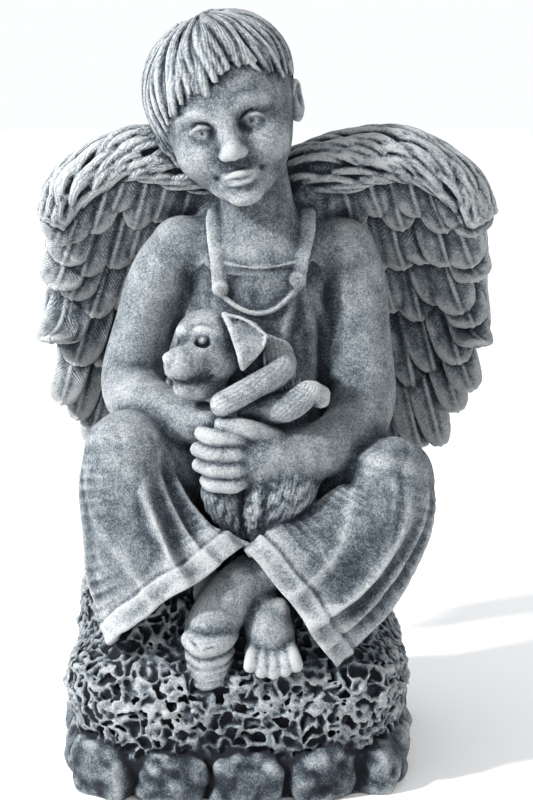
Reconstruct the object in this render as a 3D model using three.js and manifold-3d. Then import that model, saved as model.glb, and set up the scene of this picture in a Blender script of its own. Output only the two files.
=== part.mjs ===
// A cast stone garden statue: a winged boy in bib overalls sits cross-legged on a rock and hugs a puppy.
// Millimetres, +Z up. It faces -Y, stands on z = 0, and the origin is under the middle of its outline.
// The casting is one solid. Its parts are simple closed shapes, lofted here and joined into that solid.

import * as THREE from "three";
import { mergeVertices } from "three/addons/utils/BufferGeometryUtils.js";
import Module from "manifold-3d";

const wasm = await Module();
wasm.setup();

// Driving dimensions, in millimetres
const figureHeight = 410; // from the seat to the crown of the hair
const rockWidth = 270;
const rockDepth = 232;
const rockHeight = 190; // from the ground to the seat
const cobbleHeight = 46;
const cobbleWidth = 54;
const cobbleDepth = 15; // how far the cobbles stand out of the rock
const wingSpan = 394;
const wingHeight = 276; // from the top of a wing to its lowest feather tip
const featherThickness = 9;
const strapWidth = 17;
const strapThickness = 5;
const buttonDiameter = 17;
const cuffWidth = 16; // the turned-up band at the trousers' hem
const hemThickness = 7;

// The pose is drawn on a 600 mm statue, whose seat is at this height, and scaled to the figure's own height.
const drawnSeat = 190;
const drawnHeight = 410;
const k = figureHeight / drawnHeight;
const at = (x, y, z) => new THREE.Vector3(x * k, y * k, rockHeight + (z - drawnSeat) * k);

// Solids and lofts

// A geometry's merged triangles as a solid, with its faces turned outwards.
function solidOf(geometry) {
  const bare = new THREE.BufferGeometry().setAttribute("position", geometry.getAttribute("position"));
  const merged = mergeVertices(geometry.index ? bare.setIndex(geometry.index) : bare, 1e-4);
  const triVerts = new Uint32Array(merged.index.array);
  const vertProperties = merged.attributes.position.array;
  const made = new wasm.Manifold(new wasm.Mesh({ numProp: 3, vertProperties, triVerts }));
  if (made.volume() > 0) return made;
  for (let i = 0; i < triVerts.length; i += 3) {
    [triVerts[i + 1], triVerts[i + 2]] = [triVerts[i + 2], triVerts[i + 1]];
  }
  return new wasm.Manifold(new wasm.Mesh({ numProp: 3, vertProperties, triVerts }));
}

// A closed skin over rings of equal count, drawn together to a point beyond each end.
function loft(rings, firstPole, lastPole) {
  const sides = rings[0].length;
  const points = [firstPole, ...rings.flat(), lastPole];
  const corner = (ring, side) => 1 + ring * sides + (side % sides);
  const faces = [];
  for (let side = 0; side < sides; side++) {
    faces.push(0, corner(0, side + 1), corner(0, side));
    for (let ring = 0; ring + 1 < rings.length; ring++) {
      const [a, b] = [corner(ring, side), corner(ring, side + 1)];
      const [c, d] = [corner(ring + 1, side), corner(ring + 1, side + 1)];
      faces.push(a, b, c, b, d, c);
    }
    faces.push(corner(rings.length - 1, side), corner(rings.length - 1, side + 1), points.length - 1);
  }
  return solidOf(new THREE.BufferGeometry().setFromPoints(points).setIndex(faces));
}

// An ellipse of points about a centre, from its two half-axis vectors, swollen by a share at each angle.
function ellipse(centre, across, along, sides, swell = () => 1) {
  return Array.from({ length: sides }, (_, i) => {
    const angle = (2 * Math.PI * i) / sides;
    const spoke = across.clone().multiplyScalar(Math.cos(angle)).addScaledVector(along, Math.sin(angle));
    return centre.clone().addScaledVector(spoke, swell(angle));
  });
}

// A body lofted over ellipses [centre, across, along], with a dome on each end.
// swell(angle, share) shapes its outline, where share runs from 0 at the first ellipse to 1 at the last.
function bell(stations, sides, dome = 0.6, swell = () => 1) {
  const ring = ([centre, across, along], share) => {
    return ellipse(centre, across, along, sides, (angle) => swell(angle, share));
  };
  const rings = stations.map((station, i) => ring(station, i / (stations.length - 1)));
  const cap = ([centre, across, along], [inner], share) => {
    const height = dome * Math.min(across.length(), along.length());
    const out = centre.clone().sub(inner).normalize();
    const narrow = [across, along].map((axis) => axis.clone().multiplyScalar(0.7));
    return {
      ring: ring([centre.clone().addScaledVector(out, height * 0.7), ...narrow], share),
      pole: centre.clone().addScaledVector(out, height),
    };
  };
  const first = cap(stations[0], stations[1], 0);
  const last = cap(stations.at(-1), stations.at(-2), 1);
  return loft([first.ring, ...rings, last.ring], first.pole, last.pole);
}

// A round-ended limb through stations [x, y, z, radius].
// flat squeezes it along the unit vector squeeze(point).
function limb(stations, { sides = 8, flat = 1, squeeze = () => new THREE.Vector3() } = {}) {
  const curve = new THREE.CatmullRomCurve3(stations.map(([x, y, z]) => at(x, y, z)));
  let across = null;
  const made = stations.map(([, , , radius], i) => {
    const t = i / (stations.length - 1);
    const tangent = curve.getTangent(t);
    if (!across) {
      const helper = Math.abs(tangent.z) < 0.8 ? new THREE.Vector3(0, 0, 1) : new THREE.Vector3(1, 0, 0);
      across = helper.clone().cross(tangent);
    }
    across.addScaledVector(tangent, -across.dot(tangent)).normalize();
    const along = tangent.clone().cross(across);
    const centre = curve.getPoint(t);
    const thin = squeeze(centre);
    const sized = [across, along].map((axis) => {
      const spoke = axis.clone().multiplyScalar(radius * k);
      return spoke.addScaledVector(thin, (flat - 1) * spoke.dot(thin));
    });
    return [centre, ...sized];
  });
  return bell(made, sides, 1);
}

const vector = (x, y, z) => new THREE.Vector3(x, y, z).multiplyScalar(k);

// An ellipsoid with half-axes in x, y and z, turned by tilt degrees about those axes.
function ellipsoid(centre, sizes, { tilt = [0, 0, 0], sides = 8, rows = 6 } = {}) {
  const geometry = new THREE.SphereGeometry(1, sides, rows);
  geometry.rotateX(Math.PI / 2);
  const turn = new THREE.Euler(...tilt.map(THREE.MathUtils.degToRad));
  const matrix = new THREE.Matrix4().compose(centre, new THREE.Quaternion().setFromEuler(turn), sizes);
  return solidOf(geometry.applyMatrix4(matrix));
}

const ball = (centre, radii, options) => ellipsoid(at(...centre), vector(...radii), options);

const join = (pieces) => wasm.Manifold.union(pieces);

// Rock, with a ring of cobbles at its foot

const rockX = -24 * k;
const rockY = -24 * k;
const ledgeHeight = rockHeight - 92 * k; // where the feet rest

// One level of the rock: a rounded rectangle with a few slow lumps, worked out from its angle.
// It is nearly square at the ground and rounder towards the seat.
function rockRing(height, share, backward, sides, outward = () => 0) {
  const power = THREE.MathUtils.lerp(5, 2.6, Math.min(1, height / rockHeight));
  return Array.from({ length: sides }, (_, i) => {
    const angle = (2 * Math.PI * (i + 0.5)) / sides;
    const [c, s] = [Math.cos(angle), Math.sin(angle)];
    const squared = (Math.abs(c) ** power + Math.abs(s) ** power) ** (-1 / power);
    const lump = 1 + 0.02 * Math.sin(3 * angle + height / 31) + 0.014 * Math.sin(7 * angle - height / 17);
    const size = share * squared * lump;
    const across = c * ((size * rockWidth) / 2 + outward(i));
    const deep = s * ((size * rockDepth) / 2 + outward(i));
    return new THREE.Vector3(rockX + across, rockY + backward + deep, height);
  });
}

// The rock rises into two shoulders, one under each knee.
function rock() {
  const between = (share) => THREE.MathUtils.lerp(ledgeHeight, rockHeight, share);
  const levels = [
    [0, 0.93, 0],
    [cobbleHeight, 0.97, 0],
    [ledgeHeight * 0.75, 1, 0],
    [ledgeHeight, 0.95, 2],
    [between(0.15), 0.83, 8],
    [between(0.6), 0.7, 20],
    [rockHeight - 4 * k, 0.5, 26],
  ];
  const rings = levels.map(([height, share, backward]) => rockRing(height, share, backward * k, 24));
  const foot = new THREE.Vector3(rockX, rockY, 0);
  const top = new THREE.Vector3(rockX, rockY + 26 * k, rockHeight);
  const shoulder = (across, height, wide, tall) =>
    ellipsoid(
      new THREE.Vector3(rockX + across * rockWidth, rockY + 0.095 * rockDepth, height * rockHeight),
      new THREE.Vector3(wide * rockWidth, 0.31 * rockDepth, tall * rockHeight),
    );
  return [loft(rings, foot, top), shoulder(-0.293, 0.62, 0.193, 0.284), shoulder(0.267, 0.505, 0.2, 0.232)];
}

// The cobbles are one ring around the rock's foot, pinched in between one cobble and the next.
function cobbles() {
  const around = (Math.PI * (rockWidth + rockDepth)) / 2;
  const count = Math.max(6, Math.round(around / cobbleWidth));
  const perCobble = 3;
  const round = (i) => 0.4 + 0.6 * Math.abs(Math.sin((Math.PI * i) / perCobble)) ** 0.5;
  const base = 0.93 - (1.2 * cobbleDepth) / rockWidth;
  const levels = [
    [0, 1.3],
    [0.5, 1.5],
    [0.85, 1.3],
    [1, 0.8],
  ];
  const rings = levels.map(([height, share]) => {
    return rockRing(height * cobbleHeight, base, 0, count * perCobble, (i) => share * cobbleDepth * round(i));
  });
  const [foot, top] = [0, cobbleHeight].map((height) => new THREE.Vector3(rockX, rockY, height));
  return [loft(rings, foot, top)];
}

// Legs: thighs and flared trousers, pleated towards the hem and hollow inside it

// [centre, half-width along the hem, half-depth] from the knee to the hem
const trousers = {
  right: [
    [at(-107, -76, 268), vector(31, 0, 4), vector(0, 32, 0)],
    [at(-105, -84, 234), vector(36, 0, 12), vector(0, 34, 0)],
    [at(-88, -92, 188), vector(43, 0, 28), vector(0, 35, 3)],
    [at(-67, -99, 158), vector(51, 0, 41), vector(0, 33, 3)],
  ],
  left: [
    [at(99, -76, 246), vector(31, 0, -4), vector(0, 31, 0)],
    [at(90, -84, 218), vector(35, 0, -16), vector(0, 32, 0)],
    [at(58, -96, 180), vector(37, 0, -34), vector(0, 33, 0)],
    [at(18, -106, 149), vector(38, 0, -43), vector(0, 32, 0)],
  ],
};
const pleats = (angle, share) => {
  return 1 + share * (0.09 * Math.cos(6 * angle + 0.6) - 0.03 * Math.cos(3 * angle));
};

// A trouser leg from the knee down to its turned-up cuff, and back up into the hollow hem.
function trouserLeg(stations) {
  const sides = 16;
  const [knee, thighEnd] = stations;
  const [[inner], hem] = stations.slice(-2);
  const out = hem[0].clone().sub(inner).normalize();
  const ring = ([centre, across, along], share, outward = 0, wider = 0) => {
    const grown = [across, along].map((axis) => axis.clone().setLength(axis.length() + wider));
    const moved = centre.clone().addScaledVector(out, outward);
    return ellipse(moved, ...grown, sides, (angle) => pleats(angle, share));
  };
  const shrunk = knee.map((part, i) => (i ? part.clone().multiplyScalar(0.7) : part));
  const cap = ring([knee[0].clone().lerp(thighEnd[0], -0.4), shrunk[1], shrunk[2]], 0);
  const body = stations.slice(0, -1).map((station, i) => ring(station, i / (stations.length - 1)));
  const cuff = [
    ring(hem, 1, -cuffWidth),
    ring(hem, 1, -cuffWidth, hemThickness / 2),
    ring(hem, 1, 0, hemThickness / 2),
    ring(hem, 1, 0, -hemThickness / 2),
  ];
  const hollow = ring(hem, 1, -1.5 * cuffWidth, -2 * hemThickness);
  return loft(
    [cap, ...body, ...cuff, hollow],
    knee[0].clone().lerp(thighEnd[0], -0.7),
    hem[0].clone().addScaledVector(out, -1.6 * cuffWidth),
  );
}

function legs() {
  return [
    limb([[-34, 14, 214, 46], [-76, -38, 238, 42], [-105, -76, 262, 34]]),
    limb([[22, 14, 212, 46], [66, -36, 226, 40], [98, -74, 242, 32]]),
    ball([-86, -32, 204], [40, 54, 44]),
    ball([66, -34, 194], [42, 52, 42]),
    trouserLeg(trousers.right),
    trouserLeg(trousers.left),
  ];
}

// Feet: one lies on its outer edge in front, the other is flat on the rock behind it

function feet() {
  const toes = [0, 1, 2, 3, 4];
  return [
    limb([[6, -92, 176, 17], [-22, -104, 162, 17], [-40, -112, 140, 20], [-45, -116, 114, 18]]),
    ...toes.map((i) => {
      const [z, size] = [130 - 8.6 * i, i ? 6.6 - 0.4 * i : 9];
      return limb([[-43, -122, z, size], [-47 + 1.5 * i, -139 + i, z - 3, size]], { sides: 4 });
    }),
    limb([[-40, -92, 152, 16], [-8, -94, 148, 16], [0, -108, 132, 17], [3, -122, 116, 15]]),
    ball([3, -122, 112], [22, 14, 12]),
    ...toes.map((i) => {
      const [x, size] = [-14 + 8.8 * i, i ? 6 - 0.4 * i : 7.5];
      return limb([[x, -128, 112, size], [x + 1, -141 + i, 103, size]], { sides: 4 });
    }),
  ];
}

// Torso, overalls and arms

function torso() {
  const trunk = [[-8, 18, 214, 46], [-8, 12, 262, 52], [-6, 17, 330, 51], [-5, 22, 376, 50]];
  return [
    limb(trunk, { flat: 0.8, squeeze: () => new THREE.Vector3(0, 1, 0) }),
    limb([[-62, 26, 402, 23], [-5, 24, 404, 32], [56, 26, 400, 23]]),
    limb([[-4, 26, 415, 31], [-10, 10, 462, 29]]),
  ];
}

// Each strap runs from its button over the shoulder and crosses to the other hip behind.
function overalls() {
  const wide = strapWidth / (2 * k);
  const offBody = (point) => {
    const axis = at(0, 24, 392);
    return new THREE.Vector3(0, point.y - axis.y, Math.max(0, point.z - axis.z)).normalize();
  };
  const straps = [
    [[-38, -22, 376], [-42, -19, 404], [-40, 2, 430], [-32, 44, 426], [-6, 61, 370], [24, 58, 300]],
    [[24, -22, 384], [28, -19, 404], [32, 2, 429], [24, 44, 426], [-4, 61, 370], [-38, 58, 300]],
  ].map((route) => {
    const stations = route.map((spot) => [...spot, wide]);
    return limb(stations, { sides: 4, flat: (2 * strapThickness) / strapWidth, squeeze: offBody });
  });
  const round = buttonDiameter / (2 * k);
  const button = (x, y, z) => ball([x, y, z], [round, 6, round], { sides: 6, rows: 4 });
  const rim = [[-40, -20, 372, 3.4], [-20, -28, 352, 4], [6, -28, 352, 4], [25, -20, 376, 3.4]];
  return [...straps, button(-37, -24, 380), button(24, -23, 388), limb(rim, { sides: 4 })];
}

function arms() {
  const right = [
    [-72, 24, 404, 26],
    [-95, 16, 352, 25],
    [-107, -2, 300, 24],
    [-94, -38, 290, 22],
    [-44, -82, 286, 16],
  ];
  const left = [
    [66, 24, 402, 26],
    [73, 16, 345, 25],
    [73, -2, 284, 25],
    [54, -42, 266, 22],
    [2, -88, 264, 19],
  ];
  return [limb(right), limb(left), ball([-36, -84, 284], [17, 13, 14]), ...hand()];
}

// The hand that shows lies on the puppy: four fingers side by side, and the thumb along the top.
function hand() {
  const fingers = [0, 1, 2, 3].map((i) => {
    const [z, size] = [283 - 12 * i, i === 3 ? 5.6 : 6.5];
    const tip = [-53, -57, -55, -48][i];
    const stations = [[-14, -103, z - 1, size], [-34, -108, z, size], [tip, -98, z + 1, size - 0.6]];
    return limb(stations, { sides: 4 });
  });
  const thumb = limb([[4, -96, 280, 8], [-12, -104, 288, 7.5], [-32, -104, 292, 6.5]], { sides: 6 });
  return [ball([-12, -97, 264], [24, 11, 25]), ...fingers, thumb];
}

// Puppy: its head turned to the side, one paw over the arm, its haunches hanging between the knees

function puppy() {
  const offEar = () => new THREE.Vector3(0.5, -0.8, 0.2).normalize();
  return [
    ball([-36, -68, 346], [26, 26, 25]),
    limb([[-48, -80, 341, 18], [-64, -94, 331, 14]]),
    limb([[-46, -80, 326, 12], [-60, -92, 319, 8]], { sides: 6 }),
    ball([-75, -103, 336], [5, 4, 4], { sides: 4, rows: 4 }),
    ball([-50, -91, 352], [5, 4, 5], { sides: 4, rows: 4 }),
    limb([[-25, -74, 367, 6], [-16, -84, 352, 14], [-18, -97, 330, 4]], {
      sides: 6,
      flat: 0.3,
      squeeze: offEar,
    }),
    limb([[2, -66, 345, 15], [8, -84, 332, 11], [-12, -99, 322, 9], [-35, -104, 307, 10]], { sides: 6 }),
    limb([[-10, -84, 297, 12], [14, -88, 306, 11], [32, -84, 318, 10], [39, -84, 309, 7]], { sides: 6 }),
    limb([[-2, -46, 330, 32], [-4, -52, 290, 36], [-6, -60, 240, 36], [-8, -62, 216, 26]]),
    ball([-29, -86, 233], [17, 20, 32], { tilt: [0, -14, 0], sides: 8 }),
    ball([13, -84, 240], [24, 24, 42], { tilt: [0, 22, 0], sides: 8 }),
  ];
}

// Head, in its own frame: +Z to the crown, -Y out of the face

const headTilt = [4, -15, 0];
const headTurn = new THREE.Matrix4().makeRotationFromEuler(
  new THREE.Euler(...headTilt.map(THREE.MathUtils.degToRad)),
);
const headSeat = new THREE.Vector3(-32, 2, 520);
function onHead(x, y, z) {
  return new THREE.Vector3(x, y, z).applyMatrix4(headTurn).add(headSeat).toArray();
}

function head() {
  const both = (make) => [-1, 1].flatMap(make);
  const small = { tilt: headTilt, sides: 6, rows: 4 };
  const brow = (side) => {
    const stations = [[8, -55, 4, 3], [20, -54, 9, 3.4], [33, -45, 5, 2.4]];
    return limb(stations.map(([x, y, z, r]) => [...onHead(x * side, y, z), r]), { sides: 4 });
  };
  return [
    ball(onHead(0, 6, 6), [55, 59, 52], { tilt: headTilt, sides: 10 }),
    ball(onHead(0, -12, -20), [46, 46, 51], { tilt: headTilt, sides: 10, rows: 8 }),
    ball(onHead(0, -40, -54), [20, 16, 16], small),
    limb([[...onHead(0, -54, -4), 5], [...onHead(0, -62, -20), 6.5]], { sides: 6 }),
    ball(onHead(0, -62, -24), [10, 7, 6.5], small),
    ...both((side) => [
      ball(onHead(24 * side, -35, -26), [20, 18, 20], small),
      ball(onHead(19.5 * side, -46.5, -9), [10.5, 9, 7.5], small),
      brow(side),
      ball(onHead(55 * side, 2, -14), [6, 10, 16], small),
    ]),
    ...[0, 1].map((lower) => {
      const z = -40 - 6.5 * lower;
      const lip = [[-14, -49, z + 1 + lower, 2.4], [0, -56 + lower, z, 4.2], [14, -49, z + 1 + lower, 2.4]];
      return limb(lip.map(([x, y, height, r]) => [...onHead(x, y, height), r]), { sides: 4 });
    }),
  ];
}

// The hair is one cap of locks: ridges and grooves from the crown to an uneven hem, short over the forehead.
function hair() {
  const [locks, rows] = [18, 4];
  const onCap = (turn, fall, lift) => {
    const past = Math.max(0, fall - Math.PI / 2); // below the widest level the hair hangs almost straight
    const out = lift * (Math.sin(fall - past) - 0.2 * past);
    const up = lift * Math.cos(fall - past) - past;
    return at(...onHead(57 * out * Math.sin(turn), 6 - 61 * out * Math.cos(turn), 9 + 61 * up));
  };
  const ring = (share, inside = 0) => {
    return Array.from({ length: 2 * locks }, (_, i) => {
      const ridge = i % 2;
      const turn = (Math.PI * i) / locks + 0.09 * share * Math.sin(2.1 * i);
      const backward = 0.5 - 0.5 * Math.cos(turn);
      const length = 1.2 + 0.74 * backward ** 0.6 - 0.18 * Math.sin(turn) + 0.13 * ridge;
      return onCap(turn, share * length, 1.03 + 0.07 * ridge * Math.sqrt(share) - inside);
    });
  };
  const rings = Array.from({ length: rows }, (_, row) => ring((row + 1) / rows));
  return [loft([...rings, ring(0.94, 0.25)], onCap(0, 0, 1.05), at(...onHead(0, 6, 9)))];
}

// Wings: a rim arches up from the shoulder blade, and rows of feathers hang from it

const wingTop = 498; // on the drawn statue
const drawnWingHeight = 276;
const half = wingSpan / (2 * k);
const drop = (z) => wingTop - ((wingTop - z) * wingHeight) / (drawnWingHeight * k);
const lineOf = (spots) => {
  return new THREE.CatmullRomCurve3(spots.map(([x, y, z]) => new THREE.Vector3(x * half, y, drop(z))));
};

// The middle line of the rim, and the line of the feather tips, from the shoulder blade outwards:
// [share of half the span, depth, height], on the drawn statue.
const rimLine = lineOf([
  [0.12, 54, 455],
  [0.31, 40, 468],
  [0.48, 33, 476],
  [0.63, 33, 474],
  [0.83, 38, 451],
  [0.925, 45, 424],
]);
const rimRadii = [22, 24, 22, 20, 18, 13];
const tipLine = lineOf([
  [0.23, 88, 262],
  [0.44, 90, 232],
  [0.62, 86, 222],
  [0.78, 78, 234],
  [0.9, 66, 266],
  [0.98, 52, 350],
]);

// The front of a wing, which is cupped: s runs out along the rim, v down from the rim to the feather tips.
function onWing(side, s, v, backward = 0) {
  const spot = rimLine.getPoint(s).lerp(tipLine.getPoint(s), v);
  spot.y += 34 * Math.sin(Math.PI * v) * Math.sin(Math.PI * (0.15 + 0.7 * s));
  return at(side * spot.x, spot.y, spot.z).add(new THREE.Vector3(0, backward, 0));
}

// Rows of feathers from the rim down: [lower edge as a share of the way to the tips, feathers in the row].
const frontRows = [
  [0.3, 6],
  [0.5, 8],
  [0.72, 8],
  [1, 8],
];
const backRows = [[0.55, 6]];
const wingSections = 24; // along the rim, a multiple of every row's feathers

// A wing below its rim: sections from the rim to the tips and back, with a step at each row's lower edge.
function feathers(side) {
  const plate = 12 * k;
  const sections = Array.from({ length: wingSections + 1 }, (_, i) => {
    const s = i / wingSections;
    const edge = ([low, count], row) => {
      const place = (i * count) / wingSections + (row % 2) / 2;
      // 1 down the middle of a feather, 0 between two
      const round = Math.abs(Math.sin(Math.PI * place)) ** 0.6;
      const uneven = 0.02 * Math.sin(2.6 * Math.floor(place) + 9 * low + side);
      return [low - (0.09 + uneven) * (1 - round), featherThickness * (0.4 + 0.6 * round)];
    };
    const edges = frontRows.map(edge);
    const [tip, tipThickness] = edges.at(-1);
    const front = edges.slice(0, -1).flatMap(([low, out]) => [[low, -out], [low + 0.01, 0]]);
    const back = backRows.map(edge).flatMap(([low, out]) => [[low, plate + out], [low + 0.01, plate]]);
    const tips = [[tip, -tipThickness / 2], [tip, tipThickness / 2]];
    const outline = [[0, 0], ...front, ...tips, ...back.reverse(), [0, plate]];
    return outline.map(([v, backward]) => onWing(side, s, v, backward));
  });
  const middleOf = (section) => {
    const middle = new THREE.Vector3();
    for (const corner of section) middle.addScaledVector(corner, 1 / section.length);
    return middle;
  };
  return loft(sections, middleOf(sections[0]), middleOf(sections.at(-1)));
}

function wing(side) {
  const rim = rimRadii.map((radius, i) => {
    const { x, y, z } = rimLine.getPoint(i / (rimRadii.length - 1));
    return [side * x, y, z, radius];
  });
  const root = [[side * 16, 42, 320, 20], [side * 22, 48, 384, 26], [side * 40, 50, 446, 24]];
  return [limb(rim), limb(root, { sides: 6 }), feathers(side)];
}

// The casting

function casting() {
  const pieces = [
    ...rock(),
    ...cobbles(),
    ...legs(),
    ...feet(),
    ...torso(),
    ...overalls(),
    ...arms(),
    ...puppy(),
    ...head(),
    ...hair(),
    ...wing(-1),
    ...wing(1),
  ];
  const bodies = join(pieces).decompose();
  return bodies.reduce((largest, body) => (body.volume() > largest.volume() ? body : largest));
}

// The outer skin of a solid as a geometry, without the voids shut inside it.
function geometryOf(solid) {
  const { numProp, vertProperties, triVerts } = solid.getMesh();
  const positions = new Float32Array((vertProperties.length / numProp) * 3);
  for (let i = 0; i < positions.length / 3; i++) {
    positions.set(vertProperties.subarray(i * numProp, i * numProp + 3), i * 3);
  }
  const geometry = new THREE.BufferGeometry();
  geometry.setAttribute("position", new THREE.BufferAttribute(positions, 3));
  geometry.setIndex(new THREE.BufferAttribute(new Uint32Array(triVerts), 1));
  geometry.computeVertexNormals();
  geometry.computeBoundingBox();
  return geometry;
}

const stone = new THREE.MeshStandardMaterial({ color: 0x9aa1a6, roughness: 0.92, metalness: 0 });
const statue = new THREE.Mesh(geometryOf(casting()), stone);
statue.name = "statue";
const middle = statue.geometry.boundingBox.getCenter(new THREE.Vector3());
statue.position.set(-middle.x, -middle.y, 0);

const group = new THREE.Group();
group.add(statue);
export default group;
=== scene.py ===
"""Looks for a cast stone statue: a winged boy in bib overalls sits on a pitted rock and hugs a puppy.

The statue is modelled as one block of clay: the distance to its surface, in millimetres, on a grid of points.
Each form is blended into the clay, the fine carving is worked into it, and the clay becomes one mesh that
stands for the CAD solid. Drawn coordinates: X to the viewer's right, -Y to the viewer, Z up, the seat at 190.
"""

import math

import bpy
import numpy as np
import openvdb
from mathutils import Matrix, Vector


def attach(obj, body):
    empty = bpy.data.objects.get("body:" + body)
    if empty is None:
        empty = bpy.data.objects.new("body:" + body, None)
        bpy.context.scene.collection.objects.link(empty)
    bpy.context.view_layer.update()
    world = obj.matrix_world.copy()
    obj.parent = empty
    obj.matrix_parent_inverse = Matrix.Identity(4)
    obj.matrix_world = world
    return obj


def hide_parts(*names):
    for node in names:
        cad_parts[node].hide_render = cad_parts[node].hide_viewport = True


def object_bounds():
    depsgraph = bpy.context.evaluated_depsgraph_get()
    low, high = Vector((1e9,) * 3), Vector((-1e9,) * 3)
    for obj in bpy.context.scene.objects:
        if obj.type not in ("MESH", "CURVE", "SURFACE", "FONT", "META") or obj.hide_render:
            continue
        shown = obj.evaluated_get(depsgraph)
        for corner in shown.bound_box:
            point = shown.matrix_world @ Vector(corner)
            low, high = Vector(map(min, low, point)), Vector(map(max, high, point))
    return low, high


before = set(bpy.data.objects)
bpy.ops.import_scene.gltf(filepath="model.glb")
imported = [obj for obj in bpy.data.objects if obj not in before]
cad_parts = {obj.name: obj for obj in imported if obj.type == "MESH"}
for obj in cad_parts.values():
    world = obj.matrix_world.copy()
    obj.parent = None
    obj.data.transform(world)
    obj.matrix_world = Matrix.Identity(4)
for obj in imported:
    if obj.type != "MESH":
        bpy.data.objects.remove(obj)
cad_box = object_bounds()

CELL = 1.25  # spacing of the clay's points
FAR = 30.0  # distance of points that no form has reached
EDGE = 6.0  # how far outside a form its distances are worked out
MOST_TRIANGLES = 198_000
DRAWN_FRONT = -148.3  # the foremost point of the CAD solid, in the drawing
SHIFT = np.array([0, cad_box[0][1] * 1000 - DRAWN_FRONT, 0])  # from the drawing to the frame
ROCK, COBBLE, CLOTH, SKIN, HAIR, FEATHER, FUR, PLUME = range(1, 9)  # what a surface is made of


# Clay and the forms that are pressed into it


def smooth(stations, steps):
    """The rows of a table with steps - 1 more between each two, on one smooth curve through them all."""
    rows = np.array(stations, float)
    ends = np.vstack([2 * rows[0] - rows[1], rows, 2 * rows[-1] - rows[-2]])
    made = []
    for i in range(len(rows) - 1):
        before, start, end, after = ends[i : i + 4]
        for t in np.arange(steps) / steps:
            a = 2 * start
            b = end - before
            c = 2 * before - 5 * start + 4 * end - after
            d = -before + 3 * start - 3 * end + after
            made.append(0.5 * (a + b * t + c * t**2 + d * t**3))
    return np.vstack([made, rows[-1:]])


def unit(vectors):
    return vectors / np.maximum(np.linalg.norm(vectors, axis=-1, keepdims=True), 1e-9)


def ellipse_gap(offsets, sizes):
    """About how far points are outside an ellipsoid, from their offsets and its half-axes."""
    k0 = np.sqrt(sum((o / s) ** 2 for o, s in zip(offsets, sizes)))
    k1 = np.sqrt(sum((o / s**2) ** 2 for o, s in zip(offsets, sizes)))
    return k0 * (k0 - 1) / np.maximum(k1, 1e-4)


class Form:
    """A shape between the corners low and high, measured out to edge millimetres from its surface."""

    edge = EDGE
    phase = None  # the count of fine grooves, where a form has them

    def widen(self, blend):
        """Measures far enough out for a corner that is rounded over blend."""
        more = blend + 1 - self.edge
        if more > 0:
            self.edge += more
            self.low = self.low - more
            self.high = self.high + more


def nearest_place(centres, reach, x, y, z):
    """The squared distance to a route and the place along it, at the points of a window."""
    nearest = np.full((x.size, y.size, z.size), np.inf, np.float32)
    place = np.zeros(nearest.shape, np.float32)
    for i in range(len(centres) - 1):
        start, end = centres[i], centres[i + 1]
        step = end - start
        widest = max(reach[i], reach[i + 1])
        low, high = np.minimum(start, end) - widest, np.maximum(start, end) + widest
        ranges = zip((x, y, z), low, high)
        part = tuple(slice(*np.searchsorted(axis.ravel(), ends)) for axis, *ends in ranges)
        dx, dy, dz = x[part[0]] - start[0], y[:, part[1]] - start[1], z[:, :, part[2]] - start[2]
        t = np.clip((dx * step[0] + dy * step[1] + dz * step[2]) / (step @ step), 0, 1)
        gap = (dx - t * step[0]) ** 2 + (dy - t * step[1]) ** 2 + (dz - t * step[2]) ** 2
        closer = gap < nearest[part]
        np.copyto(nearest[part], gap, where=closer)
        np.copyto(place[part], i + t, where=closer)
    return nearest, place


class Route(Form):
    """A form around a line of centres."""

    def around(self, reach, tables, x, y, z):
        """What is within reach of the line: indices, points, places along it, and the tables' rows there."""
        nearest, place = nearest_place(self.centres, reach, x, y, z)
        where = np.nonzero(nearest < reach.max() ** 2)
        place = place[where]
        low = np.minimum(place.astype(int), len(self.centres) - 2)
        share = (place - low)[:, None]
        rows = [table[low] * (1 - share) + table[low + 1] * share for table in tables]
        points = np.stack([x[where[0], 0, 0], y[0, where[1], 0], z[0, 0, where[2]]], axis=1)
        return where, points, place, rows


class Tube(Route):
    """A tube along a smooth route through [x, y, z, half-width] or [x, y, z, half-width, half-thickness].

    Its width lies along side. relief(place, u, v) raises its surface: place runs from 0 to 1, u across and v
    through it. grain(place, u) counts fine grooves for the finish.
    """

    def __init__(self, stations, side=(1, 0, 0), steps=4, relief=None, grain=None):
        rows = smooth(stations, steps)
        self.centres = rows[:, :3]
        self.sizes = np.maximum(rows[:, [3, -1]], 0.3)
        tangents = unit(np.gradient(self.centres, axis=0))
        side = np.broadcast_to(np.array(side, float), tangents.shape)
        self.across = unit(side - np.sum(side * tangents, axis=1, keepdims=True) * tangents)
        self.along = np.cross(tangents, self.across)
        self.relief = relief
        self.grain = grain
        self.low = (self.centres - self.sizes.max(axis=1)[:, None]).min(axis=0) - EDGE
        self.high = (self.centres + self.sizes.max(axis=1)[:, None]).max(axis=0) + EDGE

    def measure(self, x, y, z):
        reach = self.sizes.max(axis=1) + self.edge
        tables = (self.centres, self.across, self.along, self.sizes)
        where, points, place, (centre, across, along, sizes) = self.around(reach, tables, x, y, z)
        offset = points - centre
        u = np.sum(offset * across, axis=1)
        v = np.sum(offset * along, axis=1)
        beyond = np.sqrt(np.maximum(np.sum(offset**2, axis=1) - u**2 - v**2, 0))
        wide, thick = sizes.T
        gap = ellipse_gap((u, v, beyond), (wide, thick, np.minimum(wide, thick)))
        place = place / (len(self.centres) - 1)
        if self.relief:
            gap -= self.relief(place, u, v)
        if self.grain:
            self.phase = self.grain(place, u)
        return where, gap


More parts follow.
